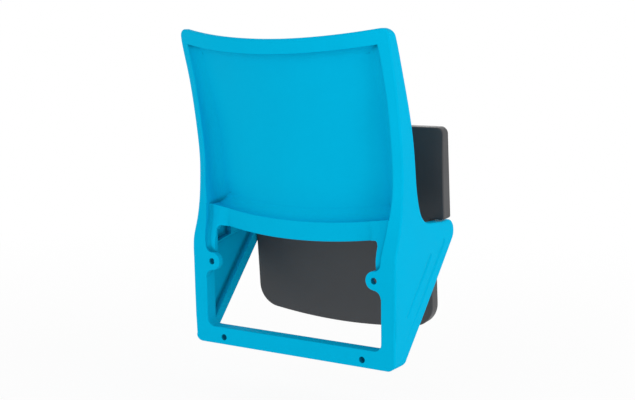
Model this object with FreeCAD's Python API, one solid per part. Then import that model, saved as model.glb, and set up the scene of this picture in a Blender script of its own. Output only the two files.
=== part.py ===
"""Tip-up stadium seat: a one-piece back shell fixed to a riser, and a folding seat pan.

Millimetres. X runs across the seat, +X to the sitter's left. +Y points back to the riser,
+Z up. The origin is the middle of the foot rail's lower rear edge, on the riser's face.
"""
import FreeCAD, Part
import math
import os

from FreeCAD import Placement, Rotation, Vector

# Shell: overall sizes
shell_width = 440.0
shell_top = 574.6          # height of the top edge at mid width
crossing_radius = 1250.0   # the top edge and both crossing bars sag on this radius
corner_radius = 13.0       # upper outer corners
foot_corner_radius = 15.0  # lower outer corners
foot_inset = 2.5           # how far each side draws in from the flange top to the foot
rear_bow = 48.6            # how far the middle of the back stands behind its edges
front_bow = 54.0
panel_wall = 4.5
shell_wall = 4.0
top_rim_height = 26.1
band_bottom = 213.0        # lower edge of the crossing band at mid width
band_height = 34.5
band_middle_y = -13.0      # rear face of the band at mid width
band_bow = -22.0           # how far the band's ends lie in front of its middle
band_blend = 20.0          # from the lip to where the band's own face begins
rim_width = 18.0           # width of the back's side rims
recess_cove = 18.0         # round where the recessed panel runs into the side rims and bars
rear_round = 3.0           # rounds along the shell's outer edges
front_round = 2.5
edge_round = 2.0           # rounds along its inner edges
band_top_round = 1.8
lug_round = 1.5

# Shell: foot rail, rear flanges and fixing holes
rail_height = 32.0
flange_width = 30.0
flange_depth = 27.0
flange_top = 190.0
opening_corner_radius = 15.0
rail_hole_inset = 68.5     # from the shell's side
rail_hole_height = 13.5
lug_hole_inset = 13.8      # from the flange's inner side
lug_hole_height = 157.7
lug_radius = 17.0
lug_depth = 12.0
lug_web_round = 14.0
lip_width = 15.0           # lip inside the flange, from the lug up to the band
lip_drop = 8.0             # from the rims' rear face down to the lip
lip_corner_radius = 7.5
lip_cove = 5.0
relief_depth = 18.5        # the lip's front is cut back to this depth, clear of the lowered seat
relief_headroom = 3.0      # how far that cut runs up past the band's middle
fixing_hole_radius = 6.0
rail_rib_pitch = 50.0
flange_rib_pitch = 42.0
rib_thickness = 2.5
flange_channel_foot = 6.0
flange_channel_head = 14.0

# Back: side profile as (height, rear edge, front edge)
side_profile = (
    (flange_top, 0.0, -88.0),
    (200.0, -1.4, -88.2),
    (212.0, -5.0, -88.5),
    (230.0, -12.0, -89.0),
    (249.0, -17.6, -89.0),
    (268.0, -21.6, -86.5),
    (306.0, -25.8, -77.0),
    (344.0, -26.8, -71.5),
    (402.0, -20.7, -62.5),
    (459.0, -10.8, -46.6),
    (515.0, 2.3, -26.6),
    (560.0, 15.5, -10.0),
    (600.0, 20.5, 11.0),
)
rim_full_z = 306.0         # from here up the back's rims have their full shape

# Cheeks: the two side arms that carry the seat
pivot_y = -199.0
pivot_z = 217.6
nose_radius = 22.7
cheek_thickness = 20.0
cheek_wall = 6.5
cheek_slope = 42.2         # lean of the front edge from the vertical, in degrees
cheek_rim_width = 21.0
arm_root = ((-50.0, 350.0), (-57.0, 350.0))  # where the arm ends, inside the back
arm_top_line = ((-75.0, 306.0), (-83.6, 287.0), (-92.2, 266.0), (-110.0, 249.0))
arm_crest = 2.4            # rise of the arm's top between its nose and the back
arm_crest_y = -140.0
foot_round = 10.0
foot_lead = 3.8            # how far the foot's front curve leads in before its bend
foot_bend = 3.0
ledge_rise = 10.2          # slope of the pocket's ledge, in degrees
ledge_rear_z = 178.0
ledge_thickness = 4.0
pocket_round = 7.0
arm_wall = 4.5
arm_hollow_rear = -98.0
groove_offsets = (26.0, 52.5)  # from the front edge to each groove
groove_tops = (203.0, 184.0)
groove_rears = (-36.0, -43.0)
groove_radius = 8.0
groove_depth = 1.6
arm_cover_screw_length = 6.5
boss_overlap = 1.0         # how far a screw post runs into the wall beside it

# Pivot
pin_radius = 6.0
running_clearance = 0.05
bush_wall = 1.5
bush_flange_radius = 9.4
bush_flange_thickness = 1.6
boss_radius = 20.0
boss_back = 6.0            # thickness of cheek left outside the pin's blind bore
pin_head_radius = 9.0
pin_head_thickness = 4.0
face_gap = 0.3

# Stops
seat_travel = 83.2         # degrees from folded up to sat down
stop_orbit = 14.2
stop_peg_radius = 4.0
stop_peg_angle = -90.0     # below the pivot, in degrees from +Y towards +Z
slot_clearance = 0.3
slot_depth = 5.5
buffer_angle = 12.0
stop_gap_angle = 1.2

# Seat pan, in its own frame: w runs up the folded seat, t out of its sitting face
seat_lean = 3.9            # degrees that the folded seat leans back from the vertical
seat_front = 196.5
seat_rear = -194.4
seat_edge_radius = 1040.0
seat_overhang = 7.5        # how far the seat's front half reaches past each cheek
seat_side_gap = 3.5        # between the seat's rear half and each cheek
seat_step = 28.0
seat_front_corner = 13.0
seat_rear_corner = 45.0
seat_step_corner = 4.0
seat_underface = 2.9
seat_wall = 3.5
cover_wall = 3.0
seat_split = 7.0
seam_gap = 0.3
seat_edge_round = 2.5
cover_edge_round = 3.5
seat_block = 60.0          # thicker than the seat, for cutting
# Sitting face as (w, edge height t, dish at mid width)
sitting_profile = (
    (-215.0, 28.3, 3.0),
    (-160.0, 29.2, 8.0),
    (-90.0, 30.3, 11.0),
    (0.0, 31.2, 10.0),
    (90.0, 30.0, 5.0),
    (160.0, 26.5, 1.5),
    (215.0, 21.0, 0.5),
)

# Hubs, weights and screws
hub_radius = 22.0
hub_length = 48.0          # how far a hub reaches in from the cheek
hub_half_length = 36.0
hub_plate_reach = 40.0
keeper_radius = 17.0
keeper_thickness = 1.5
keeper_screw_orbit = 12.8
keeper_screw_grip = 8.0
weight_length = 146.0
weight_width = 34.0
weight_thickness = 10.5
weight_inner = 12.0
weight_floor = 6.2         # underside of the bars, in t
weight_screw_grip = 3.2
weight_counterbore = 2.9
weight_screw_shares = (0.2, 0.8)  # where along a bar its screws stand
cover_thickness = 2.5
cover_lip = 3.0
screw_clearance = 0.3
tip_gap = 0.5              # a screw ends this far above its pilot hole's floor
cover_screw_length = 9.0
hub_plate_top = 17.0
hub_plate_thickness = 4.0
hub_screw_grip = 6.0
hub_screw_margin = 1.5
weight_middle = -152.0
screw_radius = 2.0
screw_head_radius = 4.0
screw_head_height = 2.6
screw_boss_radius = 4.6
drive_width = 1.0
drive_length = 4.4
drive_depth = 1.3
cover_screw_places = (
    (-95.0, -180.5), (95.0, -180.5), (-150.0, -70.0), (0.0, -70.0), (150.0, -70.0),
    (-185.0, 70.0), (185.0, 70.0), (-120.0, 170.0), (0.0, 170.0), (120.0, 170.0),
)

half_width = shell_width / 2.0
cheek_inner = half_width - cheek_thickness
flange_inner = half_width - flange_width
rim_inner = half_width - rim_width
pocket_floor = half_width - cheek_wall
rail_hole_x = half_width - rail_hole_inset
lug_hole_x = flange_inner - lug_hole_inset
seat_half_wide = half_width + seat_overhang
seat_half_narrow = cheek_inner - seat_side_gap
hub_inner = cheek_inner - hub_length
hub_plate_inner = cheek_inner - hub_plate_reach
far = 400.0
overcut = 5.0


def line(a, b):
    return Part.LineSegment(a, b).toShape()


def arc(a, b, c):
    return Part.Arc(a, b, c).toShape()


def polygon(points):
    """Edges of a closed polygon through the points."""
    ends = points[1:] + points[:1]
    return [line(a, b) for a, b in zip(points, ends)]


def solid_loft(sections):
    return Part.makeLoft([Part.Wire(edges) for edges in sections], True, False)


def block(x, y, z):
    """Box between the low and high ends of three ranges."""
    corner = Vector(x[0], y[0], z[0])
    return Part.makeBox(x[1] - x[0], y[1] - y[0], z[1] - z[0], corner)


def rod(radius, x_start, x_end, y, z):
    """Cylinder along X."""
    return Part.makeCylinder(radius, x_end - x_start, Vector(x_start, y, z), Vector(1, 0, 0))


def mirrored(shape):
    return shape.mirror(Vector(0, 0, 0), Vector(1, 0, 0))


def both_sides(shape):
    return shape.fuse(mirrored(shape))


def both_ways(*places):
    """The places and their mirror images across the middle plane."""
    return [(side * x, y, z) for x, y, z in places for side in (1.0, -1.0)]


def edges_near(solid, places):
    """For each place, the solid's nearest edge."""
    found = []
    for place in places:
        spot = Part.Vertex(Vector(*place))
        nearest = min(solid.Edges, key=lambda edge: edge.distToShape(spot)[0])
        if not any(nearest.isSame(edge) for edge in found):
            found.append(nearest)
    return found


def eased(solid, radius, places):
    """Round the solid's edges nearest to the places, and the edges that run on from them."""
    return solid.makeFillet(radius, edges_near(solid, places))


def side_prism(edges, x_start, x_end):
    """Solid between two X planes from an outline drawn in the YZ plane at X = 0."""
    face = Part.Face(Part.Wire(edges))
    face.translate(Vector(x_start, 0, 0))
    return face.extrude(Vector(x_end - x_start, 0, 0))


def sag(x, radius):
    """Rise of an arc of that radius at x from its middle."""
    return radius - math.sqrt(radius * radius - x * x)


def below_crossing(middle_z, half, y_range, floor_z):
    """Space under a sagging crossing line, between two Y planes."""
    rise = sag(half, crossing_radius)
    left = Vector(-half, y_range[0], middle_z + rise)
    middle = Vector(0, y_range[0], middle_z)
    right = Vector(half, y_range[0], middle_z + rise)
    low_right = Vector(half, y_range[0], floor_z)
    low_left = Vector(-half, y_range[0], floor_z)
    edges = [arc(left, middle, right), line(right, low_right)]
    edges += [line(low_right, low_left), line(low_left, left)]
    return Part.Face(Part.Wire(edges)).extrude(Vector(0, y_range[1] - y_range[0], 0))


def bowed(x, edge_y, bow):
    """Y on a plan arc that passes edge_y at the shell's sides and bows back by bow."""
    if abs(bow) < 0.01:
        return edge_y
    radius = half_width * half_width / (2.0 * abs(bow)) + abs(bow) / 2.0
    depth = sag(x, radius)
    return edge_y + bow - math.copysign(depth, bow)


def plan_line(z, half, edge_y, bow):
    """Line across the shell in plan at height z, straight where it has no bow."""
    left = Vector(-half, bowed(half, edge_y, bow), z)
    right = Vector(half, bowed(half, edge_y, bow), z)
    if abs(bow) < 0.01:
        return line(left, right)
    return arc(left, Vector(0, bowed(0, edge_y, bow), z), right)


def plan_section(z, half, front, rear):
    """Closed plan outline at height z: front and rear are (edge, bow) lines."""
    front_edge = plan_line(z, half, *front)
    rear_edge = plan_line(z, half, *rear)
    ends = [line(front_edge.Vertexes[i].Point, rear_edge.Vertexes[i].Point) for i in (0, 1)]
    return Part.__sortEdges__([front_edge, ends[1], rear_edge, ends[0]])


def growth(z):
    """From 0 at the flange top to 1 where the back's rim has its full shape."""
    share = (z - flange_top) / (rim_full_z - flange_top)
    return min(max(share, 0.0), 1.0)


def recess_half(z):
    """Half width inside the rims, from the flange's to the back's."""
    return flange_inner + (rim_inner - flange_inner) * growth(z)


def back_block():
    """Everything between the back's front face and its rims' rear faces."""
    sections = []
    for z, rear, front in side_profile:
        rear_line = (rear, rear_bow * growth(z))
        sections.append(plan_section(z, half_width + overcut, (front, front_bow), rear_line))
    return solid_loft(sections)


def behind_panel():
    """Space behind the thin panel, between the side rims."""
    sections = []
    for z, rear, front in side_profile:
        front_line = (front + panel_wall, front_bow)
        sections.append(plan_section(z, recess_half(z), front_line, (far / 2.0, 1.0)))
    return solid_loft(sections)


def coved(recess):
    """Round the edges of a recess's front face."""
    front = min(recess.Faces, key=lambda face: face.CenterOfMass.y)
    return recess.makeFillet(recess_cove, front.Edges)


def behind_band():
    """Space behind the crossing band and behind the lips that run down from its ends."""
    lip_x = flange_inner - lip_width
    band_x = lip_x - band_blend
    band_radius = (flange_inner ** 2 + band_bow ** 2) / (2.0 * abs(band_bow))
    band_y = band_middle_y - sag(band_x, band_radius)
    rows = [(lug_hole_height, 0.0)] + [(z, rear) for z, rear, front in side_profile if z <= rim_full_z]
    sections = []
    for z, rear in rows:
        half = recess_half(z)
        floor = rear - lip_drop
        open_y = far / 2.0
        points = [
            Vector(-half, open_y, z), Vector(-half, floor, z), Vector(-lip_x, floor, z),
            Vector(-band_x, band_y, z), Vector(band_x, band_y, z), Vector(lip_x, floor, z),
            Vector(half, floor, z), Vector(half, open_y, z),
        ]
        edges = polygon(points)
        edges[3] = arc(points[3], Vector(0, band_middle_y, z), points[4])
        sections.append(edges)
    space = solid_loft(sections)
    coves = both_ways((flange_inner, -lip_drop, (lug_hole_height + flange_top) / 2.0))
    return space.makeFillet(lip_cove, edges_near(space, coves))


def slope_point(distance, z):
    """Point at height z, set back from the cheek's sloping front edge."""
    lean = math.radians(cheek_slope)
    normal = Vector(0, math.cos(lean), math.sin(lean))
    tangent_y = pivot_y - nose_radius * normal.y
    tangent_z = pivot_z - nose_radius * normal.z
    edge_y = tangent_y + (tangent_z - z) * math.tan(lean) + distance / math.cos(lean)
    return Vector(0, edge_y, z)


def cheek_outline():
    """Side view of a cheek, from the foot to its root inside the back."""
    lean = math.radians(cheek_slope)
    arm_top = pivot_z + nose_radius
    front_points = [Vector(0, y, z) for y, z in arm_root[1:] + arm_top_line]
    front_points += [Vector(0, arm_crest_y, arm_top + arm_crest), Vector(0, pivot_y, arm_top)]
    front_curve = Part.BSplineCurve()
    down = Vector(0, -0.36, -1)
    forward = Vector(0, -1, 0)
    front_curve.interpolate(Points=front_points, InitialTangent=down, FinalTangent=forward)
    nose_front = Vector(0, pivot_y - nose_radius, pivot_z)
    reach = Vector(0, nose_radius * math.cos(lean), nose_radius * math.sin(lean))
    nose_end = Vector(0, pivot_y, pivot_z) - reach
    foot_start = slope_point(0.0, foot_round)
    foot_end = Vector(0, foot_start.y + foot_round, 0)
    bend = Vector(0, foot_start.y + foot_lead, foot_bend)
    heel = Vector(0, 0, 0)
    shoulder = Vector(0, 0, flange_top)
    root = Vector(0, *arm_root[0])
    edges = [line(heel, shoulder), line(shoulder, root), line(root, front_points[0])]
    edges += [front_curve.toShape(), arc(front_points[-1], nose_front, nose_end)]
    edges += [line(nose_end, foot_start), arc(foot_start, bend, foot_end), line(foot_end, heel)]
    return edges


def rounded_along_x(solid, radius):
    """Round every edge that runs along X."""
    edges = []
    for edge in solid.Edges:
        start = edge.Vertexes[0].Point
        end = edge.Vertexes[-1].Point
        if abs(start.y - end.y) < 1e-6 and abs(start.z - end.z) < 1e-6 and edge.Length > 0.5:
            edges.append(edge)
    return solid.makeFillet(radius, edges)


def ledge_z(y):
    return ledge_rear_z - (y + flange_depth) * math.tan(math.radians(ledge_rise))


def ledge_meets_slope(distance, drop):
    """Where the ledge line, lowered by drop, crosses a line set back from the front edge."""
    y = -150.0
    for step in range(40):
        z = ledge_z(y) - drop
        y = slope_point(distance, z).y
    return Vector(0, y, ledge_z(y) - drop)


def cheek_pocket():
    """Recess in a cheek's inner face, under the ledge and behind the front rim."""
    rear_y = -flange_depth - 1.0
    rim_low = slope_point(cheek_rim_width, 0.0)
    low_z = (rim_low.y - rear_y) / math.tan(math.radians(cheek_slope))
    corners = [
        Vector(0, rear_y, low_z),
        Vector(0, rear_y, ledge_z(rear_y)),
        ledge_meets_slope(cheek_rim_width, 0.0),
    ]
    prism = side_prism(polygon(corners), cheek_inner - 20.0, pocket_floor)
    prism = rounded_along_x(prism, pocket_round)
    return prism.cut(rod(boss_radius + 1.5, 0, half_width, pivot_y, pivot_z))


def upper_pocket():
    """Recess in a cheek's inner face over the ledge, up behind the crossing band."""
    rear = -flange_depth - lip_drop
    front = arm_hollow_rear + arm_wall
    top = band_bottom + band_height / 2.0
    corners = [
        Vector(0, rear, ledge_z(rear) + ledge_thickness),
        Vector(0, rear, top),
        Vector(0, front, top),
        Vector(0, front, ledge_z(front) + ledge_thickness),
    ]
    prism = side_prism(polygon(corners), cheek_inner - overcut, pocket_floor)
    return rounded_along_x(prism, pocket_round - ledge_thickness)


def arm_corners(margin):
    """Corners of the hollow in the arm above the ledge, drawn in by margin."""
    rear = arm_hollow_rear - margin
    front = pivot_y + boss_radius + 2.5 + margin
    top = pivot_z + nose_radius - arm_wall - margin
    low = ledge_thickness + margin
    return [
        Vector(0, rear, ledge_z(rear) + low),
        Vector(0, rear, top),
        Vector(0, front, top),
        Vector(0, front, ledge_z(front) + low),
    ]


def side_groove(offset, top_z, rear_y):
    """Round-bottomed groove in a cheek's outer face, along its sloping front edge."""
    low = slope_point(offset, 0.0)
    low.z = (low.y - rear_y) / math.tan(math.radians(cheek_slope))
    low.y = rear_y
    high = slope_point(offset, top_z)
    x = half_width - groove_depth + groove_radius
    low.x = x
    high.x = x
    groove = Part.makeCylinder(groove_radius, (high - low).Length, low, high - low)
    ends = [Part.makeSphere(groove_radius, end) for end in (low, high)]
    return groove.fuse(ends)


def silhouette_mask():
    """Rear view of the shell as a prism: rounded upper corners, drawn-in foot, sagging top."""
    foot = half_width - foot_inset
    side_radius = (flange_top ** 2 + foot_inset ** 2) / (2.0 * foot_inset)
    side_bend = half_width - sag(flange_top / 2.0, side_radius)
    top_edge = shell_top + sag(half_width, crossing_radius)

    def at(x, z):
        return Vector(x, -far, z)

    edges = [line(at(-foot, 0), at(foot, 0))]
    edges.append(arc(at(foot, 0), at(side_bend, flange_top / 2.0), at(half_width, flange_top)))
    edges.append(line(at(half_width, flange_top), at(half_width, top_edge)))
    edges.append(arc(at(half_width, top_edge), at(0, shell_top), at(-half_width, top_edge)))
    edges.append(line(at(-half_width, top_edge), at(-half_width, flange_top)))
    edges.append(arc(at(-half_width, flange_top), at(-side_bend, flange_top / 2.0), at(-foot, 0)))
    mask = Part.Face(Part.Wire(edges)).extrude(Vector(0, 2 * far, 0))
    return mask.makeFillet(corner_radius, edges_near(mask, both_ways((half_width, 0, top_edge))))


def foot_corners(mask):
    """What the rounded lower corners leave off the mask."""
    corners = both_ways((half_width - foot_inset, 0, 0))
    return mask.cut(mask.makeFillet(foot_corner_radius, edges_near(mask, corners)))


def rounded_opening(half, z_low, z_high, low_radius, high_radius):
    """Opening from rear to front with a sagging top, its corners rounded."""
    space = below_crossing(z_high, half, (-far, far), z_low)
    high = z_high + sag(half, crossing_radius)
    if low_radius > 0.0:
        space = space.makeFillet(low_radius, edges_near(space, both_ways((half, 0, z_low))))
    if high_radius > 0.0:
        space = space.makeFillet(high_radius, edges_near(space, both_ways((half, 0, high))))
    return space


def opening_between_flanges():
    """Space over the rail, between the flanges, up to the lugs."""
    top = lug_hole_height - sag(flange_inner, crossing_radius)
    return rounded_opening(flange_inner, rail_height, top, opening_corner_radius, 0.0)


def opening_between_lips():
    """Space between the lips, from the lugs up to the band."""
    foot = lug_hole_height - lug_radius
    return rounded_opening(flange_inner - lip_width, foot, band_bottom, 0.0, lip_corner_radius)


def seat_relief():
    """Room in front of a lip for the rear corner of the lowered seat."""
    x = (flange_inner - lip_width - 1.0, flange_inner)
    y = (-flange_depth - overcut, -relief_depth)
    z = (lug_hole_height - lug_radius, band_bottom + relief_headroom)
    return block(x, y, z)


def lug():
    """Tab on a flange's inner side that takes the upper fixing."""
    x = lug_hole_x
    tab = Part.makeCylinder(lug_radius, lug_depth, Vector(x, -lug_depth, lug_hole_height), Vector(0, 1, 0))
    round_x = flange_inner - lug_web_round
    web_half = math.sqrt((lug_radius + lug_web_round) ** 2 - (round_x - x) ** 2)
    web_z = (lug_hole_height - web_half, lug_hole_height + web_half)
    web = block((x, flange_inner + edge_round + 1.0), (-lug_depth, 0.0), web_z)
    for side in (-1.0, 1.0):
        centre = Vector(round_x, -lug_depth - 1.0, lug_hole_height + side * web_half)
        web = web.cut(Part.makeCylinder(lug_web_round, lug_depth + 2.0, centre, Vector(0, 1, 0)))
    return eased(tab.fuse(web).removeSplitter(), lug_round, [(x - lug_radius, 0.0, lug_hole_height)])


def front_channels():
    """Hollows moulded into the rail and flanges from the front, ribs left standing."""
    y = (-flange_depth - 1.0, -shell_wall)
    rail_half = half_width - flange_width + shell_wall
    rail = block((-rail_half, rail_half), y, (shell_wall, rail_height - shell_wall))
    ribs = int(rail_half / rail_rib_pitch)
    for index in range(-ribs, ribs + 1):
        x = index * rail_rib_pitch
        rib = (x - rib_thickness / 2, x + rib_thickness / 2)
        rail = rail.cut(block(rib, (-far, 0), (0, rail_height)))
    for side in (-1.0, 1.0):
        start = Vector(side * rail_hole_x, -far, rail_hole_height)
        post = Part.makeCylinder(fixing_hole_radius + shell_wall, far, start, Vector(0, 1, 0))
        rail = rail.cut(post)
    z = (rail_height + flange_channel_foot, flange_top - flange_channel_head)
    flange = block((flange_inner + shell_wall, pocket_floor - foot_inset), y, z)
    count = int((z[1] - z[0]) / flange_rib_pitch)
    for index in range(1, count + 1):
        rib_z = z[0] + index * flange_rib_pitch
        rib = (rib_z - rib_thickness / 2, rib_z + rib_thickness / 2)
        flange = flange.cut(block((0, far), (-far, 0), rib))
    return rail.fuse(both_sides(flange))


def pivot_bore():
    """Blind bores in a cheek for the pin's bush and the stop peg."""
    bush_outer = pin_radius + bush_wall
    bore = rod(bush_outer, cheek_inner - 1.0, half_width - boss_back, pivot_y, pivot_z)
    peg = stop_peg_centre()
    return bore.fuse(rod(stop_peg_radius, cheek_inner - 1.0, half_width - boss_back, peg.y, peg.z))


def stop_peg_centre():
    angle = math.radians(stop_peg_angle)
    return Vector(0, pivot_y + stop_orbit * math.cos(angle), pivot_z + stop_orbit * math.sin(angle))


def shell_lump():
    """The shell's whole outside, with its outer edges rounded."""
    cheek = side_prism(cheek_outline(), cheek_inner, half_width + overcut)
    wide = half_width + overcut
    foot_frame = block((-wide, wide), (-flange_depth, 0.0), (0.0, flange_top))
    low = foot_frame.fuse(both_sides(cheek)).removeSplitter()
    mask = silhouette_mask()
    lump = back_block().fuse(low).removeSplitter().common(mask).removeSplitter()
    mid_z, mid_rear, mid_front = side_profile[len(side_profile) // 2 + 1]
    slope = slope_point(0.0, flange_top / 2.0)
    side_x = half_width - foot_inset / 4.0
    arm_top = pivot_z + nose_radius + arm_crest
    rear = both_ways((half_width, mid_rear, mid_z), (side_x, 0.0, flange_top / 2.0))
    lump = eased(lump, rear_round, rear).cut(foot_corners(mask))
    for x in (half_width, cheek_inner):
        lump = eased(lump, front_round, both_ways((x, arm_crest_y, arm_top), (x, slope.y, slope.z)))
    return eased(lump, front_round, [(0.0, -flange_depth, 0.0)])


def back_shell():
    shell = shell_lump()
    whole_depth = (-far, far)
    below_rim = below_crossing(shell_top - top_rim_height, rim_inner + 1.0, whole_depth, band_bottom)
    below_band_top = below_crossing(band_bottom + band_height, half_width, whole_depth, 0.0)
    shell = shell.cut(coved(behind_panel().common(below_rim.cut(below_band_top))))
    shell = shell.cut(opening_between_flanges())
    shell = eased(shell, edge_round, [(0.0, 0.0, rail_height)])
    shell = eased(shell, edge_round, [(0.0, -flange_depth, rail_height)])
    shell = shell.cut(behind_band().common(below_band_top))
    shell = shell.cut(below_crossing(band_bottom, cheek_inner, (-far, -flange_depth), 0.0))
    shell = shell.cut(opening_between_lips())
    shell = shell.cut(both_sides(seat_relief()))
    shell = eased(shell, edge_round, [(0.0, band_middle_y, band_bottom)])
    lip_edge = (flange_inner - lip_width, -lip_drop, (lug_hole_height + band_bottom) / 2.0)
    shell = eased(shell, edge_round, both_ways(lip_edge))
    shell = eased(shell, band_top_round, [(0.0, band_middle_y, band_bottom + band_height)])
    mid_z, mid_rear, mid_front = side_profile[len(side_profile) // 2]
    shell = eased(shell, edge_round, both_ways((rim_inner, mid_rear, mid_z)))
    shell = shell.fuse(both_sides(lug()))
    shell = shell.cut(front_channels())
    shell = shell.cut(both_sides(cheek_pocket()))
    shell = shell.cut(both_sides(upper_pocket()))
    rim = slope_point(cheek_rim_width, flange_top / 2.0)
    shell = eased(shell, edge_round, both_ways((cheek_inner, rim.y, rim.z)))
    for offset, top, rear in zip(groove_offsets, groove_tops, groove_rears):
        shell = shell.cut(both_sides(side_groove(offset, top, rear)))
        beside = slope_point(offset, flange_top / 2.0 + overcut)
        shell = eased(shell, edge_round, both_ways((half_width, beside.y, beside.z)))
    shell = shell.cut(both_sides(pivot_bore()))
    shell = shell.cut(both_sides(arm_cover_hollow()))
    for x, height in ((rail_hole_x, rail_hole_height), (lug_hole_x, lug_hole_height)):
        start = Vector(x, -far / 2.0, height)
        hole = Part.makeCylinder(fixing_hole_radius, far, start, Vector(0, 1, 0))
        shell = shell.cut(both_sides(hole))
    return shell.removeSplitter()


def arm_cover_hollow():
    """Hollow in the arm, with the rebate that its inner cover sits in."""
    hollow = side_prism(polygon(arm_corners(cover_lip)), cheek_inner, pocket_floor)
    hollow = rounded_along_x(hollow, pocket_round - cover_lip)
    post_start = cheek_inner + cover_thickness + face_gap
    rebate = side_prism(polygon(arm_corners(0.0)), cheek_inner - 1.0, post_start)
    rebate = rounded_along_x(rebate, pocket_round)
    for y, z in cover_screws():
        post = rod(screw_boss_radius, post_start, pocket_floor, y, z)
        hollow = hollow.cut(post)
        pilot = rod(screw_radius, post_start - 1.0, pocket_floor - 1.0, y, z)
        hollow = hollow.fuse(pilot)
    return hollow.fuse(rebate)


def cover_screws():
    """Places of the two screws that hold an arm's inner cover, as (y, z)."""
    inset = cover_lip + screw_boss_radius - boss_overlap
    corners = arm_corners(inset)
    return [(corners[1].y, corners[1].z), (corners[3].y, corners[3].z)]


def arm_cover():
    """Plate that closes the hollow of the left arm from inside."""
    plate = side_prism(polygon(arm_corners(seam_gap)), cheek_inner, cheek_inner + cover_thickness)
    plate = rounded_along_x(plate, pocket_round - seam_gap)
    for y, z in cover_screws():
        plate = plate.cut(rod(screw_radius + screw_clearance, cheek_inner - 1.0, pocket_floor, y, z))
    return plate


def arm_cover_screws():
    screws = []
    turn = Rotation(Vector(0, 0, 1), Vector(-1, 0, 0))
    for y, z in cover_screws():
        screw = pan_screw(arm_cover_screw_length)
        screw.Placement = Placement(Vector(cheek_inner, y, z), turn)
        screws.append(screw)
    return Part.Compound(screws)


def pan_screw(length):
    """Pan-head screw: the head stands on the origin, the shank runs down -Z."""
    head = Part.makeCylinder(screw_head_radius, screw_head_height)
    head = head.makeFillet(0.45 * screw_head_height, [head.Edges[0]])
    shank = Part.makeCylinder(screw_radius, length, Vector(0, 0, 0), Vector(0, 0, -1))
    narrow = (-drive_width / 2.0, drive_width / 2.0)
    long = (-drive_length / 2.0, drive_length / 2.0)
    deep = (screw_head_height - drive_depth, screw_head_height + 1.0)
    cross = block(narrow, long, deep).fuse(block(long, narrow, deep))
    return head.fuse(shank).cut(cross)


def bush():
    """Flanged nylon bush in the left cheek's bore."""
    outer = pin_radius + bush_wall
    inner_end = cheek_inner - bush_flange_thickness
    body = rod(outer, inner_end, half_width - boss_back, pivot_y, pivot_z)
    flange = rod(bush_flange_radius, inner_end, cheek_inner, pivot_y, pivot_z)
    bore = rod(pin_radius + running_clearance, inner_end - 1.0, half_width, pivot_y, pivot_z)
    return body.fuse(flange).cut(bore)


def stop_peg():
    """Steel peg in the left cheek that runs in the hub's slot."""
    peg = stop_peg_centre()
    tip = hub_face() - slot_depth + face_gap
    body = rod(stop_peg_radius, tip, half_width - boss_back, peg.y, peg.z)
    return body.makeChamfer(0.5, [body.Edges[0], body.Edges[2]])


def hub_face():
    """Outer face of the seat's hub, just clear of the bush's flange."""
    return cheek_inner - bush_flange_thickness - face_gap


def seat_placed(shape):
    """Turn a shape from the seat's own frame to the folded seat's place."""
    turned = shape.copy()
    turned.Placement = Placement(Vector(0, pivot_y, pivot_z), Rotation(Vector(1, 0, 0), -seat_lean))
    return turned


def seat_outline(inset, low_t):
    """Outline of the seat seen square on, drawn in by inset, at thickness low_t."""
    wide = seat_half_wide - inset
    narrow = seat_half_narrow - inset
    front = seat_front - inset
    step = seat_step + inset
    front_r = seat_front_corner - inset
    rear_r = seat_rear_corner - inset
    step_r = max(seat_step_corner - inset, 0.5)
    diag = 1.0 - math.sqrt(0.5)
    edge_r = seat_edge_radius - inset
    edge_centre = seat_rear + seat_edge_radius
    corner_x = narrow - rear_r
    corner_w = edge_centre - math.sqrt((edge_r - rear_r) ** 2 - corner_x ** 2)
    turn = math.atan2(corner_w - edge_centre, corner_x)

    def at(x, w):
        return Vector(x, low_t, w)

    front_end = at(wide - front_r, front)
    side_start = at(wide, front - front_r)
    side_end = at(wide, step + step_r)
    step_start = at(wide - step_r, step)
    corner_start = at(narrow, corner_w)
    rear_end = at(edge_r * math.cos(turn), edge_centre + edge_r * math.sin(turn))
    front_bend = at(wide - front_r * diag, front - front_r * diag)
    step_bend = at(wide - step_r * diag, step + step_r * diag)
    rear_bend = at(corner_x + rear_r * math.cos(turn / 2), corner_w + rear_r * math.sin(turn / 2))
    right = [arc(front_end, front_bend, side_start), line(side_start, side_end)]
    right += [arc(side_end, step_bend, step_start), line(step_start, at(narrow, step))]
    right += [line(at(narrow, step), corner_start), arc(corner_start, rear_bend, rear_end)]
    left = [mirrored(edge) for edge in right]
    front_edge = line(at(-front_end.x, front), front_end)
    rear_edge = arc(rear_end, at(0, edge_centre - edge_r), at(-rear_end.x, rear_end.z))
    return Part.Wire(Part.__sortEdges__([front_edge, rear_edge] + right + left))


def seat_prism(inset, low_t, high_t):
    return Part.Face(seat_outline(inset, low_t)).extrude(Vector(0, high_t - low_t, 0))


def under_sitting_face(drop):
    """Space under the sitting face, lowered by drop."""
    half = seat_half_wide + 5.0
    sections = []
    for w, edge_t, dish in sitting_profile:
        left = Vector(-half, edge_t - drop, w)
        middle = Vector(0, edge_t - dish - drop, w)
        right = Vector(half, edge_t - drop, w)
        low_right = Vector(half, -seat_block, w)
        low_left = Vector(-half, -seat_block, w)
        edges = [arc(left, middle, right), line(right, low_right)]
        edges += [line(low_right, low_left), line(low_left, left)]
        sections.append(edges)
    return solid_loft(sections)


def seat_body():
    """The whole outside of the seat, sitting face and underside, edges rounded."""
    body = seat_prism(0.0, seat_underface, seat_block).common(under_sitting_face(0.0))
    sitting = max(body.Faces, key=lambda face: face.CenterOfMass.y)
    body = body.makeFillet(seat_edge_round, sitting.Edges)
    under = min(body.Faces, key=lambda face: face.CenterOfMass.y)
    return body.makeFillet(cover_edge_round, under.Edges)


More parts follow.
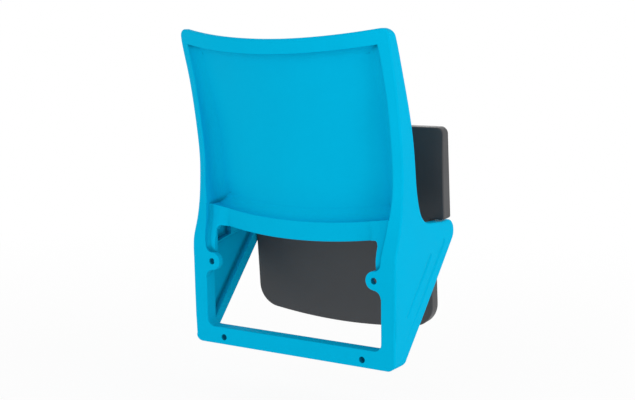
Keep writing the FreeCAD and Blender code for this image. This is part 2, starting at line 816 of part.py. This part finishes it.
def hub_clearance():
    """Room that the hubs' barrels need in both seat mouldings."""
    room = keeper_thickness + screw_head_height + 1.0
    barrel = rod(hub_radius + seam_gap, hub_inner - room, half_width, 0, 0)
    return both_sides(barrel)


def seat_post(radius, x, w, low_t, high_t):
    """Cylinder through the seat's thickness."""
    return Part.makeCylinder(radius, high_t - low_t, Vector(x, low_t, w), Vector(0, 1, 0))


def seat_top(body):
    """Upper moulding: sitting face, skirt, and the posts that take all the screws."""
    upper = body.cut(block((-far, far), (-far, seat_split), (-far, far)))
    hollow = seat_prism(seat_wall, -seat_block, seat_block).common(under_sitting_face(seat_wall))
    shell = upper.cut(hollow)
    fixings = []
    for x, w in cover_screw_places:
        fixings.append((x, w, seat_underface + cover_wall + face_gap, cover_screw_length))
    for x, w in weight_screw_places():
        fixings.append((x, w, weight_top(), weight_screw_grip))
    for x, w in hub_screw_places():
        fixings.append((x, w, hub_plate_top, hub_screw_grip))
        fixings.append((-x, w, hub_plate_top, hub_screw_grip))
    inside = under_sitting_face(seat_wall / 2)
    inside = inside.common(seat_prism(seat_wall / 2, -seat_block, seat_block))
    posts = [seat_post(screw_boss_radius, x, w, foot, seat_block) for x, w, foot, grip in fixings]
    shell = shell.fuse([post.common(inside) for post in posts])
    pilots = [seat_post(screw_radius, x, w, foot - 1.0, foot + grip) for x, w, foot, grip in fixings]
    shell = shell.cut(pilots[0].fuse(pilots[1:]))
    return shell.cut(hub_clearance()).removeSplitter()


def seat_cover(body):
    """Lower moulding: the seat's underside, screwed to the upper one."""
    lower = body.common(block((-far, far), (-far, seat_split - seam_gap), (-far, far)))
    cover = lower.cut(seat_prism(cover_wall, seat_underface + cover_wall, seat_block))
    for x, w in cover_screw_places:
        cover = cover.cut(seat_post(screw_radius + screw_clearance, x, w, 0.0, seat_block))
    return cover.cut(hub_clearance()).removeSplitter()


def cover_screws_in_seat():
    screws = []
    for x, w in cover_screw_places:
        screw = pan_screw(cover_wall + face_gap + cover_screw_length - tip_gap)
        screw.Placement = Placement(Vector(x, seat_underface, w), Rotation(Vector(0, 0, 1), Vector(0, -1, 0)))
        screws.append(screw)
    return Part.Compound(screws)


def weight_top():
    return weight_floor + weight_thickness


def weight_screw_places():
    places = []
    for side in (-1.0, 1.0):
        for share in weight_screw_shares:
            places.append((side * (weight_inner + share * weight_length), weight_middle))
    return places


def weight(side):
    """Steel bar in the seat's rear half that tips the seat up."""
    x = sorted((side * weight_inner, side * (weight_inner + weight_length)))
    w = (weight_middle - weight_width / 2, weight_middle + weight_width / 2)
    bar = block(x, (weight_floor, weight_top()), w)
    bar = bar.makeChamfer(1.0, bar.Edges)
    head_room = weight_floor + weight_counterbore
    for x_hole, w_hole in weight_screw_places():
        bar = bar.cut(seat_post(screw_radius + screw_clearance, x_hole, w_hole, 0.0, seat_block))
        bar = bar.cut(seat_post(screw_head_radius + screw_clearance, x_hole, w_hole, 0.0, head_room))
    return bar


def weight_screws():
    screws = []
    for x, w in weight_screw_places():
        screw = pan_screw(weight_thickness - weight_counterbore + weight_screw_grip - tip_gap)
        seat = Vector(x, weight_floor + weight_counterbore, w)
        screw.Placement = Placement(seat, Rotation(Vector(0, 0, 1), Vector(0, -1, 0)))
        screws.append(screw)
    return Part.Compound(screws)


def hub_screw_places():
    """Places of one hub's four screws as (x, w)."""
    x_near = hub_plate_inner + screw_boss_radius
    x_far = seat_half_narrow - seat_wall - screw_boss_radius - hub_screw_margin
    w = hub_half_length - screw_boss_radius
    return [(x_near, w), (x_far, w), (x_near, -w), (x_far, -w)]


def slot_sector(start_angle, end_angle, low_r, high_r, x_start, x_end):
    """Piece of a ring about the pivot axis between two angles, in degrees from +t towards +w."""
    middle = math.radians((start_angle + end_angle) / 2.0)
    start = math.radians(start_angle)
    end = math.radians(end_angle)

    def at(radius, angle):
        return Vector(0, radius * math.cos(angle), radius * math.sin(angle))

    edges = [arc(at(high_r, start), at(high_r, middle), at(high_r, end))]
    edges.append(line(at(high_r, end), at(low_r, end)))
    edges.append(arc(at(low_r, end), at(low_r, middle), at(low_r, start)))
    edges.append(line(at(low_r, start), at(high_r, start)))
    return side_prism(edges, x_start, x_end)


def slot_angles():
    """Slot ends in the seat's frame: the peg meets a buffer at each end of the travel."""
    peg_half = math.degrees(math.asin(stop_peg_radius / stop_orbit))
    rest = stop_peg_angle + seat_lean
    high = rest + peg_half + stop_gap_angle + buffer_angle
    low = rest - seat_travel - peg_half - stop_gap_angle - buffer_angle
    return low, high


def slot_radii():
    half = stop_peg_radius + slot_clearance
    return stop_orbit - half, stop_orbit + half


def seat_hub():
    """Nylon hub in the seat's left side: barrel on the pivot axis, foot plate with four screws."""
    barrel = rod(hub_radius, hub_inner, hub_face(), 0, 0)
    x_range = (hub_plate_inner, seat_half_narrow - seat_wall - seam_gap)
    plate_t = (hub_plate_top - hub_plate_thickness, hub_plate_top)
    plate = block(x_range, plate_t, (-hub_half_length, hub_half_length))
    column_half = math.sqrt(hub_radius ** 2 - (seat_underface + cover_wall) ** 2)
    column = block(x_range, (0.0, hub_plate_top), (-column_half, column_half))
    hub = barrel.fuse([plate, column])
    low_r, high_r = slot_radii()
    low, high = slot_angles()
    hub = hub.cut(slot_sector(low, high, low_r, high_r, hub_face() - slot_depth, half_width))
    hub = hub.cut(rod(pin_radius, 0, half_width, 0, 0))
    hub = hub.cut(rod(pin_head_radius + seam_gap, 0, hub_inner + pin_head_thickness, 0, 0))
    for side in (-1.0, 1.0):
        hub = hub.cut(rod(screw_radius, 0, hub_inner + keeper_screw_grip, 0, side * keeper_screw_orbit))
    for x, w in hub_screw_places():
        hub = hub.cut(seat_post(screw_radius + screw_clearance, x, w, 0.0, seat_block))
    return hub.removeSplitter()


def hub_screws():
    screws = []
    for x, w in hub_screw_places():
        screw = pan_screw(hub_plate_thickness + hub_screw_grip - tip_gap)
        seat = Vector(x, hub_plate_top - hub_plate_thickness, w)
        screw.Placement = Placement(seat, Rotation(Vector(0, 0, 1), Vector(0, -1, 0)))
        screws.append(screw)
    return Part.Compound(screws)


def pivot_pin():
    """Headed steel pin, pressed in the hub and turning in the cheek's bush."""
    shoulder = hub_inner + pin_head_thickness
    head = rod(pin_head_radius, hub_inner, shoulder, 0, 0)
    shank = rod(pin_radius, shoulder, half_width - boss_back - face_gap, 0, 0)
    shank = shank.makeChamfer(0.8, [shank.Edges[0]])
    return head.fuse(shank)


def pin_keeper():
    """Steel disc screwed on the hub's inner end, so that the pin can't work inwards."""
    disc = rod(keeper_radius, hub_inner - keeper_thickness, hub_inner, 0, 0)
    for side in (-1.0, 1.0):
        disc = disc.cut(rod(screw_radius + screw_clearance, 0, half_width, 0, side * keeper_screw_orbit))
    return disc


def keeper_screws():
    screws = []
    for side in (-1.0, 1.0):
        screw = pan_screw(keeper_thickness + keeper_screw_grip - tip_gap)
        place = Vector(hub_inner - keeper_thickness, 0, side * keeper_screw_orbit)
        screw.Placement = Placement(place, Rotation(Vector(0, 0, 1), Vector(-1, 0, 0)))
        screws.append(screw)
    return Part.Compound(screws)


def slot_buffer(end):
    """Rubber pad at one end of the hub's slot."""
    low_r, high_r = slot_radii()
    low, high = slot_angles()
    if end == "up":
        angles = (high - buffer_angle, high)
    else:
        angles = (low, low + buffer_angle)
    floor = hub_face() - slot_depth
    return slot_sector(angles[0], angles[1], low_r, high_r, floor, hub_face() - seam_gap)


def save(name, shape):
    shape.exportStep("parts/" + name + ".step")


def save_pair(name, left_shape):
    save("left_" + name, left_shape)
    save("right_" + name, mirrored(left_shape))


os.makedirs("parts", exist_ok=True)
save("back_shell", back_shell())
save_pair("arm_cover", arm_cover())
save_pair("arm_cover_screws", arm_cover_screws())
save_pair("pivot_bush", bush())
save_pair("stop_peg", stop_peg())

body = seat_body()
save("seat_top", seat_placed(seat_top(body)))
save("seat_cover", seat_placed(seat_cover(body)))
save("seat_cover_screws", seat_placed(cover_screws_in_seat()))
save("left_weight", seat_placed(weight(1.0)))
save("right_weight", seat_placed(weight(-1.0)))
save("weight_screws", seat_placed(weight_screws()))
save_pair("seat_hub", seat_placed(seat_hub()))
save_pair("hub_screws", seat_placed(hub_screws()))
save_pair("pivot_pin", seat_placed(pivot_pin()))
save_pair("pin_keeper", seat_placed(pin_keeper()))
save_pair("keeper_screws", seat_placed(keeper_screws()))
save_pair("up_buffer", seat_placed(slot_buffer("up")))
save_pair("down_buffer", seat_placed(slot_buffer("down")))
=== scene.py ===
"""Looks of a tip-up stadium seat: cyan moulded shell, dark grey folding seat, hidden fittings."""
import math

import bmesh
import bpy
from mathutils import Matrix, Vector

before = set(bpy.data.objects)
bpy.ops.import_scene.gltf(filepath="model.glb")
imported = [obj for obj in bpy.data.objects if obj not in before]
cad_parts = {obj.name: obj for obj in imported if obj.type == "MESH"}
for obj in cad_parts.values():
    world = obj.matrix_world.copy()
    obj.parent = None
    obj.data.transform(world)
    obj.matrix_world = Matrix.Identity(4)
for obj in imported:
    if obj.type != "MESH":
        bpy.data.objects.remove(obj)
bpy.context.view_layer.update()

# Camera
# The view from behind the seat, a little above it and to its right-hand side. The camera stands
# about 2.2 m off, and rolls by less than a degree.
view_azimuth = math.radians(212.893)
view_elevation = math.radians(8.567)
view_roll = math.radians(-0.705)
camera_place = Vector((-1.21107, 1.77540, 0.61016))
camera_lens = 68.73
camera_sensor = 36.0

back = Vector((
    math.sin(view_azimuth) * math.cos(view_elevation),
    -math.cos(view_azimuth) * math.cos(view_elevation),
    math.sin(view_elevation),
))
right = Vector((math.cos(view_azimuth), math.sin(view_azimuth), 0.0))
up = back.cross(right)
turn = Matrix((right, up, back)).transposed().to_4x4()
camera_data = bpy.data.cameras.new("photo_camera")
camera_data.sensor_width = camera_sensor
camera_data.lens = camera_lens
camera = bpy.data.objects.new("photo_camera", camera_data)
camera.matrix_world = Matrix.Translation(camera_place) @ turn @ Matrix.Rotation(view_roll, 4, "Z")
bpy.context.scene.collection.objects.link(camera)
bpy.context.scene.camera = camera

# Moulded grain
# Both plastics come out of spark-eroded moulds, so they carry a fine pebbled grain and, on a
# broader scale, the slight unevenness of a thick moulding that has shrunk as it cooled. Narrow
# grooves and inside corners get painted shade: an occlusion mask darkens their colour.
pebble_softness = 0.6
speckle_per_metre = 2600.0
speckle_share = 0.35
clouds_per_metre = 14.0
cloud_range = (0.35, 0.65)
grain_strength = 0.35
# Painted shade in grooves and inside corners: how far the occlusion looks, how dark it paints, and
# over what range.
painted_shade_reach = 0.010
painted_shade_tone = 0.62
painted_shade_range = (0.7, 0.98)
painted_shade_samples = 12
edge_samples = 6

grain_group = bpy.data.node_groups.new("moulded_grain", "ShaderNodeTree")
grain_sockets = grain_group.interface
grain_sockets.new_socket("Position", in_out="INPUT", socket_type="NodeSocketVector")
grain_sockets.new_socket("Pebbles per metre", in_out="INPUT", socket_type="NodeSocketFloat")
grain_sockets.new_socket("Grain height", in_out="OUTPUT", socket_type="NodeSocketFloat")
grain_sockets.new_socket("Cloud", in_out="OUTPUT", socket_type="NodeSocketFloat")
grain_in = grain_group.nodes.new("NodeGroupInput")
grain_out = grain_group.nodes.new("NodeGroupOutput")
pebbles = grain_group.nodes.new("ShaderNodeTexVoronoi")
pebbles.feature = "SMOOTH_F1"
pebbles.inputs["Smoothness"].default_value = pebble_softness
speckle = grain_group.nodes.new("ShaderNodeTexNoise")
speckle.inputs["Detail"].default_value = 3.0
speckle.inputs["Scale"].default_value = speckle_per_metre
grain_mix = grain_group.nodes.new("ShaderNodeMath")
grain_mix.operation = "MULTIPLY_ADD"
grain_mix.inputs[1].default_value = speckle_share
cloud = grain_group.nodes.new("ShaderNodeTexNoise")
cloud.inputs["Scale"].default_value = clouds_per_metre
cloud.inputs["Detail"].default_value = 4.0
grain_links = grain_group.links
grain_links.new(grain_in.outputs["Position"], pebbles.inputs["Vector"])
grain_links.new(grain_in.outputs["Pebbles per metre"], pebbles.inputs["Scale"])
grain_links.new(grain_in.outputs["Position"], speckle.inputs["Vector"])
grain_links.new(grain_in.outputs["Position"], cloud.inputs["Vector"])
grain_links.new(speckle.outputs["Fac"], grain_mix.inputs[0])
grain_links.new(pebbles.outputs["Distance"], grain_mix.inputs[2])
grain_links.new(grain_mix.outputs["Value"], grain_out.inputs["Grain height"])
grain_links.new(cloud.outputs["Fac"], grain_out.inputs["Cloud"])


def moulded_plastic(name, pale, deep, rough, pebbles_per_metre, grain_depth, edge_radius):
    """Satin moulded plastic: two close shades in soft clouds, painted shade in creases, grain, soft
    edges.
    """
    material = bpy.data.materials.new(name)
    material.use_nodes = True
    nodes = material.node_tree.nodes
    links = material.node_tree.links
    shader = nodes["Principled BSDF"]
    place = nodes.new("ShaderNodeTexCoord")
    grain = nodes.new("ShaderNodeGroup")
    grain.node_tree = grain_group
    grain.inputs["Pebbles per metre"].default_value = pebbles_per_metre
    shade = nodes.new("ShaderNodeMix")
    shade.data_type = "RGBA"
    shade.inputs[6].default_value = (*deep, 1.0)
    shade.inputs[7].default_value = (*pale, 1.0)
    # Painted shade: an occlusion mask darkens the colour in grooves and inside corners.
    painted_shade_occlusion = nodes.new("ShaderNodeAmbientOcclusion")
    painted_shade_occlusion.samples = painted_shade_samples
    painted_shade_occlusion.only_local = True
    painted_shade_occlusion.inputs["Distance"].default_value = painted_shade_reach
    clear = nodes.new("ShaderNodeMapRange")
    clear.inputs["From Min"].default_value = painted_shade_range[0]
    clear.inputs["From Max"].default_value = painted_shade_range[1]
    painted_shade_mix = nodes.new("ShaderNodeMix")
    painted_shade_mix.data_type = "RGBA"
    painted_shade_mix.inputs[6].default_value = (*(painted_shade_tone * tone for tone in deep), 1.0)
    roughness = nodes.new("ShaderNodeMapRange")
    roughness.inputs["From Min"].default_value = cloud_range[0]
    roughness.inputs["From Max"].default_value = cloud_range[1]
    roughness.inputs["To Min"].default_value = rough[0]
    roughness.inputs["To Max"].default_value = rough[1]
    soft_edge = nodes.new("ShaderNodeBevel")
    soft_edge.samples = edge_samples
    soft_edge.inputs["Radius"].default_value = edge_radius
    bump = nodes.new("ShaderNodeBump")
    bump.inputs["Strength"].default_value = grain_strength
    bump.inputs["Distance"].default_value = grain_depth
    links.new(place.outputs["Object"], grain.inputs["Position"])
    links.new(grain.outputs["Cloud"], shade.inputs[0])
    links.new(grain.outputs["Cloud"], roughness.inputs["Value"])
    links.new(grain.outputs["Grain height"], bump.inputs["Height"])
    links.new(painted_shade_occlusion.outputs["AO"], clear.inputs["Value"])
    links.new(clear.outputs["Result"], painted_shade_mix.inputs[0])
    links.new(shade.outputs[2], painted_shade_mix.inputs[7])
    links.new(painted_shade_mix.outputs[2], shader.inputs["Base Color"])
    links.new(roughness.outputs["Result"], shader.inputs["Roughness"])
    links.new(soft_edge.outputs["Normal"], bump.inputs["Normal"])
    links.new(bump.outputs["Normal"], shader.inputs["Normal"])
    return material


def finish_node(node, material):
    """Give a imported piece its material."""
    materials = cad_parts[node].data.materials
    materials.clear()
    materials.append(material)


# Back shell
# One blow-moulded shell of cyan polypropylene, with the arms that carry the seat. The two cover
# plates that close the arms from inside are the same plastic.
shell_pale = (0.0008, 0.445, 0.715)
shell_deep = (0.0006, 0.415, 0.675)
shell_sheen = (0.0, 0.75, 1.0, 1.0)
shell_plastic = moulded_plastic(
    "shell_plastic", shell_pale, shell_deep,
    rough=(0.48, 0.58), pebbles_per_metre=900.0, grain_depth=0.0002, edge_radius=0.0012,
)
shell_shader = shell_plastic.node_tree.nodes["Principled BSDF"]
shell_shader.inputs["Specular IOR Level"].default_value = 0.01
shell_shader.inputs["Specular Tint"].default_value = shell_sheen
for node in ("back_shell", "left_arm_cover", "right_arm_cover"):
    finish_node(node, shell_plastic)

# Folding seat
# Two dark grey polypropylene mouldings screwed together: the dished sitting face with its skirt,
# and the cover under it.
seat_pale = (0.040, 0.041, 0.044)
seat_deep = (0.034, 0.035, 0.038)
seat_plastic = moulded_plastic(
    "seat_plastic", seat_pale, seat_deep,
    rough=(0.44, 0.54), pebbles_per_metre=1100.0, grain_depth=0.0002, edge_radius=0.0008,
)
for node in ("seat_top", "seat_cover"):
    finish_node(node, seat_plastic)

# Steel fittings
# Zinc-plated screws, pins, pegs and keepers, and the steel bars that tip the seat up. The plating
# leaves a fine spangle of paler and duller grains.
zinc_dull = (0.40, 0.41, 0.43, 1.0)
zinc_bright = (0.62, 0.63, 0.65, 1.0)
zinc_rough = (0.26, 0.46)
spangles_per_metre = 420.0
steel = bpy.data.materials.new("zinc_steel")
steel.use_nodes = True
steel_nodes = steel.node_tree.nodes
steel_links = steel.node_tree.links
steel_shader = steel_nodes["Principled BSDF"]
steel_shader.inputs["Metallic"].default_value = 1.0
steel_place = steel_nodes.new("ShaderNodeTexCoord")
spangle = steel_nodes.new("ShaderNodeTexNoise")
spangle.inputs["Scale"].default_value = spangles_per_metre
spangle.inputs["Detail"].default_value = 5.0
steel_tone = steel_nodes.new("ShaderNodeValToRGB")
steel_tone.color_ramp.elements[0].position = 0.3
steel_tone.color_ramp.elements[0].color = zinc_dull
steel_tone.color_ramp.elements[1].position = 0.7
steel_tone.color_ramp.elements[1].color = zinc_bright
steel_rough = steel_nodes.new("ShaderNodeMapRange")
steel_rough.inputs["To Min"].default_value = zinc_rough[0]
steel_rough.inputs["To Max"].default_value = zinc_rough[1]
steel_links.new(steel_place.outputs["Object"], spangle.inputs["Vector"])
steel_links.new(spangle.outputs["Fac"], steel_tone.inputs["Fac"])
steel_links.new(spangle.outputs["Fac"], steel_rough.inputs["Value"])
steel_links.new(steel_tone.outputs["Color"], steel_shader.inputs["Base Color"])
steel_links.new(steel_rough.outputs["Result"], steel_shader.inputs["Roughness"])
for node in ("seat_cover_screws", "weight_screws"):
    finish_node(node, steel)
for side in ("left", "right"):
    for fitting in (
        "arm_cover_screws", "stop_peg", "weight", "hub_screws",
        "pivot_pin", "pin_keeper", "keeper_screws",
    ):
        finish_node(side + "_" + fitting, steel)

# Nylon hubs and bushes
# Injection-moulded black nylon: the hubs that hold the pins inside the seat's sides, and the
# flanged bushes in the arms that the pins turn in.
nylon_pale = (0.020, 0.020, 0.021)
nylon_deep = (0.014, 0.014, 0.015)
nylon = moulded_plastic(
    "nylon", nylon_pale, nylon_deep,
    rough=(0.34, 0.44), pebbles_per_metre=1500.0, grain_depth=0.0001, edge_radius=0.0004,
)
for side in ("left", "right"):
    finish_node(side + "_seat_hub", nylon)
    finish_node(side + "_pivot_bush", nylon)

# Buffers
# Small pads of matt black rubber, pressed into the ends of the hubs' slots, where the steel pegs
# land.
rubber_pale = (0.012, 0.012, 0.012)
rubber_deep = (0.008, 0.008, 0.008)
rubber = moulded_plastic(
    "rubber", rubber_pale, rubber_deep,
    rough=(0.75, 0.9), pebbles_per_metre=2000.0, grain_depth=0.0001, edge_radius=0.0003,
)
for side in ("left", "right"):
    finish_node(side + "_up_buffer", rubber)
    finish_node(side + "_down_buffer", rubber)

# Studio
# A pale floor a hand's breadth under the seat's foot, which keeps the seat's shadow and fades into
# a white surround, and soft lamps behind the seat, on its right-hand side and before it.
white = (1.0, 1.0, 1.0, 1.0)
floor_drop = 0.12
floor_half = 6.0
floor_pale = (0.90, 0.90, 0.90, 1.0)
fade_reach = (0.8, 2.2)
fade_share = (0.88, 1.0)
surround_light = 0.76
lamp_aim = Vector((0.0, 0.0, 0.3))


def seen_or_mirrored(nodes, links):
    """Mask of the rays that come from the eye, from a mirror or through glass."""
    path = nodes.new("ShaderNodeLightPath")
    seen = nodes.new("ShaderNodeMath")
    mirrored = nodes.new("ShaderNodeMath")
    mirrored.use_clamp = True
    links.new(path.outputs["Is Camera Ray"], seen.inputs[0])
    links.new(path.outputs["Is Glossy Ray"], seen.inputs[1])
    links.new(seen.outputs["Value"], mirrored.inputs[0])
    links.new(path.outputs["Is Transmission Ray"], mirrored.inputs[1])
    return mirrored.outputs["Value"]


floor_mesh = bpy.data.meshes.new("floor")
floor_form = bmesh.new()
bmesh.ops.create_grid(
    floor_form, x_segments=1, y_segments=1, size=floor_half,
    matrix=Matrix.Translation((0.0, 0.0, -floor_drop)),
)
floor_form.to_mesh(floor_mesh)
floor_form.free()
floor = bpy.data.objects.new("floor", floor_mesh)
bpy.context.scene.collection.objects.link(floor)
floor_paint = bpy.data.materials.new("pale_floor")
floor_paint.use_nodes = True
floor_nodes = floor_paint.node_tree.nodes
floor_links = floor_paint.node_tree.links
floor_nodes.remove(floor_nodes["Principled BSDF"])
floor_matt = floor_nodes.new("ShaderNodeBsdfDiffuse")
floor_matt.inputs["Color"].default_value = floor_pale
floor_white = floor_nodes.new("ShaderNodeEmission")
floor_white.inputs["Strength"].default_value = 1.0
floor_place = floor_nodes.new("ShaderNodeTexCoord")
floor_reach = floor_nodes.new("ShaderNodeVectorMath")
floor_reach.operation = "LENGTH"
floor_fade = floor_nodes.new("ShaderNodeMapRange")
floor_fade.inputs["From Min"].default_value = fade_reach[0]
floor_fade.inputs["From Max"].default_value = fade_reach[1]
floor_fade.inputs["To Min"].default_value = fade_share[0]
floor_fade.inputs["To Max"].default_value = fade_share[1]
floor_share = floor_nodes.new("ShaderNodeMath")
floor_share.operation = "MULTIPLY"
floor_mix = floor_nodes.new("ShaderNodeMixShader")
floor_links.new(floor_place.outputs["Object"], floor_reach.inputs[0])
floor_links.new(floor_reach.outputs["Value"], floor_fade.inputs["Value"])
floor_links.new(seen_or_mirrored(floor_nodes, floor_links), floor_share.inputs[0])
floor_links.new(floor_fade.outputs["Result"], floor_share.inputs[1])
floor_links.new(floor_share.outputs["Value"], floor_mix.inputs["Fac"])
floor_links.new(floor_matt.outputs["BSDF"], floor_mix.inputs[1])
floor_links.new(floor_white.outputs["Emission"], floor_mix.inputs[2])
floor_links.new(floor_mix.outputs["Shader"], floor_nodes["Material Output"].inputs["Surface"])
floor_mesh.materials.append(floor_paint)

world = bpy.data.worlds.new("studio")
bpy.context.scene.world = world
world.use_nodes = True
world_nodes = world.node_tree.nodes
world_links = world.node_tree.links
world_light = world_nodes["Background"]
world_light.inputs["Color"].default_value = white
world_light.inputs["Strength"].default_value = surround_light
world_white = world_nodes.new("ShaderNodeBackground")
world_white.inputs["Color"].default_value = white
world_white.inputs["Strength"].default_value = 1.0
world_mix = world_nodes.new("ShaderNodeMixShader")
world_links.new(seen_or_mirrored(world_nodes, world_links), world_mix.inputs["Fac"])
world_links.new(world_light.outputs["Background"], world_mix.inputs[1])
world_links.new(world_white.outputs["Background"], world_mix.inputs[2])
world_links.new(world_mix.outputs["Shader"], world_nodes["World Output"].inputs["Surface"])


def soft_lamp(name, place, size, watts):
    """Square area lamp at a place, turned to shine on the seat's middle."""
    lamp_data = bpy.data.lights.new(name, "AREA")
    lamp_data.shape = "SQUARE"
    lamp_data.size = size
    lamp_data.energy = watts
    lamp = bpy.data.objects.new(name, lamp_data)
    lamp.location = place
    lamp.rotation_euler = (lamp_aim - Vector(place)).to_track_quat("-Z", "Y").to_euler()
    bpy.context.scene.collection.objects.link(lamp)


soft_lamp("rear_lamp", (0.3, 3.1, 0.9), size=2.0, watts=20.0)
soft_lamp("side_lamp", (-3.1, 0.2, 0.8), size=1.6, watts=30.0)
soft_lamp("front_lamp", (0.9, -3.1, 1.2), size=2.0, watts=24.0)
bpy.context.scene.view_settings.view_transform = "Standard"
